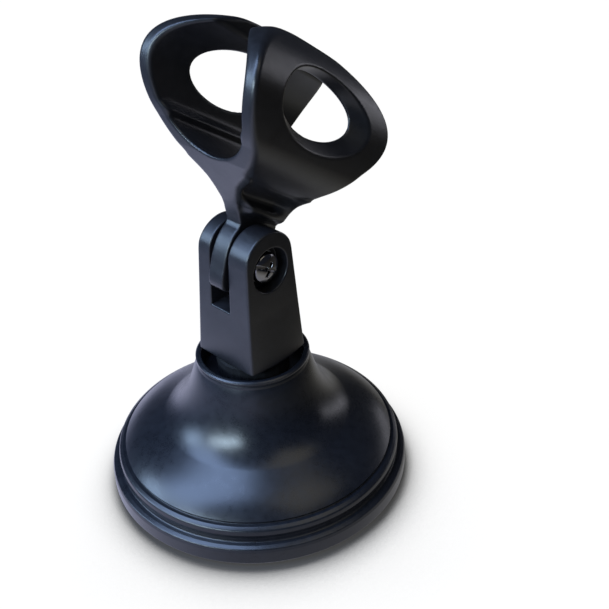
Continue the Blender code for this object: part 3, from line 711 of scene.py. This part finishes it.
def painted_contact_shade(tree, position):
    """Painted contact shadow from occlusion, not a cast shadow: 1 in the open, darker close to the
    object, most of all towards the viewer.
    """
    occlusion = add(tree, "AmbientOcclusion", {"Distance": 0.045}, output="AO", samples=16)
    lean = tuple(1.5 * VIEW_RIGHT + 11.5 * VIEW_NEAR)
    toward = add(tree, "VectorMath", {0: position, 1: lean}, output="Value",
                 operation="DOT_PRODUCT")
    weight = remap(tree, toward, (-0.40, 0.70), (0.30, 1.40))
    closed = calculate(tree, "SUBTRACT", 1.0, occlusion)
    leaning = calculate(tree, "MULTIPLY", closed, weight)
    openness = calculate(tree, "SUBTRACT", 1.0, leaning)
    return remap(tree, openness, (0.56, 0.975), (0.05, 1.0), interpolation_type="SMOOTHSTEP")


def floor_material():
    """White to the camera, with a soft painted contact shadow; to everything else the floor glows
    with painted bench light, bright on the window's side and dim on the other, so its black stays
    black."""
    material, tree, surface = new_material("floor_white")
    position = add(tree, "NewGeometry", output="Position")
    camera_ray = add(tree, "LightPath", output="Is Camera Ray")
    bench = bench_glow_color(tree, position)
    # to the camera, white darkened by the painted contact shadow
    white = mix(tree, 1, (1, 0.998, 0.995, 1), painted_contact_shade(tree, position),
                blend_type="MULTIPLY")
    feed(tree, surface, {
        "Roughness": 0.8,
        "Specular IOR Level": 0.0,
        "Base Color": (0.02, 0.02, 0.02, 1),
        # the floor glows: painted bench light for the object, white with its painted shadow for the
        # camera
        "Emission Color": mix(tree, camera_ray, bench, white),
        "Emission Strength": 1,
    })
    return material


def build_floor():
    mesh = bpy.data.meshes.new("floor")
    mesh.from_pydata([(-3, -3, 0), (3, -3, 0), (3, 3, 0), (-3, 3, 0)], [], [(0, 1, 2, 3)])
    floor = link_new("floor", mesh)
    mesh.materials.append(floor_material())


def build_world():
    """White to the camera, a dim bluish room to everything else."""
    world = bpy.data.worlds.new("studio")
    world.use_nodes = True
    tree = world.node_tree
    seen = tree.nodes["Background"]
    feed(tree, seen, {"Color": (1.0, 1.0, 1.0, 1), "Strength": 1.0})
    room = add(tree, "Background", {"Color": (0.62, 0.72, 1.0, 1), "Strength": ROOM})
    camera_ray = add(tree, "LightPath", output="Is Camera Ray")
    pick = add(tree, "MixShader", {0: camera_ray, 1: room, 2: seen.outputs[0]})
    feed(tree, tree.nodes["World Output"], {"Surface": pick})
    bpy.context.scene.world = world


build_floor()
build_world()

# Camera: distance in millimetres from the foot of the stand, angles in degrees
DISTANCE, ELEVATION = 324.0, 41.98
YAW, PITCH, ROLL = 3.31, 8.53, 4.82
SENSOR_WIDTH, LENS = 36, 57.08157635


def camera_matrix():
    elevation = math.radians(ELEVATION)
    centre = Vector((0, -DISTANCE * math.cos(elevation), DISTANCE * math.sin(elevation)))
    forward = (-centre).normalized()
    right = Vector((1, 0, 0))
    axes = [right, right.cross(forward), forward]
    for i, j, degrees in ((0, 2, YAW), (1, 2, PITCH), (0, 1, ROLL)):
        cosine, sine = math.cos(math.radians(degrees)), math.sin(math.radians(degrees))
        first, second = axes[i], axes[j]
        axes[i] = cosine * first - sine * second
        axes[j] = sine * first + cosine * second
    right, up, forward = axes
    turn = Matrix.Rotation(VIEW_TURN, 3, "Z")
    matrix = Matrix([turn @ right, turn @ up, turn @ (-forward)]).transposed().to_4x4()
    eye = turn @ centre
    matrix.translation = Vector((eye.x, eye.y, eye.z + STAND_OFF)) * MM
    return matrix


camera_data = bpy.data.cameras.new("camera")
camera_data.sensor_width = SENSOR_WIDTH
camera_data.lens = LENS
camera_data.clip_start = 0.01
camera = link_new("camera", camera_data)
camera.matrix_world = camera_matrix()
bpy.context.scene.camera = camera

LIGHT_TARGET = Vector((0, 0, 0.06))


def area(name, azimuth, elevation, distance, size, power, color):
    """Area light aimed at the stand; azimuth is from the camera's, positive to its right."""
    data = bpy.data.lights.new(name, "AREA")
    data.shape = "RECTANGLE"
    data.size, data.size_y = size
    data.energy = power
    data.color = color
    made = link_new(name, data)
    around = VIEW_TURN - math.pi / 2 + math.radians(azimuth)
    rise = math.radians(elevation)
    direction = Vector((math.cos(around) * math.cos(rise), math.sin(around) * math.cos(rise),
                        math.sin(rise)))
    made.location = direction * distance + LIGHT_TARGET
    made.rotation_euler = (made.location - LIGHT_TARGET).to_track_quat("Z", "Y").to_euler()


area("window", azimuth=-92, elevation=22, distance=0.9, size=(0.34, 0.26), power=3.6,
     color=(0.50, 0.70, 1.0))
area("high_window", azimuth=-80, elevation=58, distance=0.9, size=(0.44, 0.84), power=11.6,
     color=(0.42, 0.60, 1.0))
area("pane", azimuth=-48, elevation=25, distance=0.9, size=(0.62, 0.17), power=8.6,
     color=(0.64, 0.83, 1.0))
area("warm_fill", azimuth=50, elevation=60, distance=1.0, size=(0.6, 0.6), power=1.1,
     color=(1.0, 0.92, 0.70))
area("back_right", azimuth=119, elevation=5, distance=1.0, size=(0.72, 0.20), power=0.8,
     color=(0.86, 0.86, 0.95))
bpy.context.scene.view_settings.view_transform = "Standard"
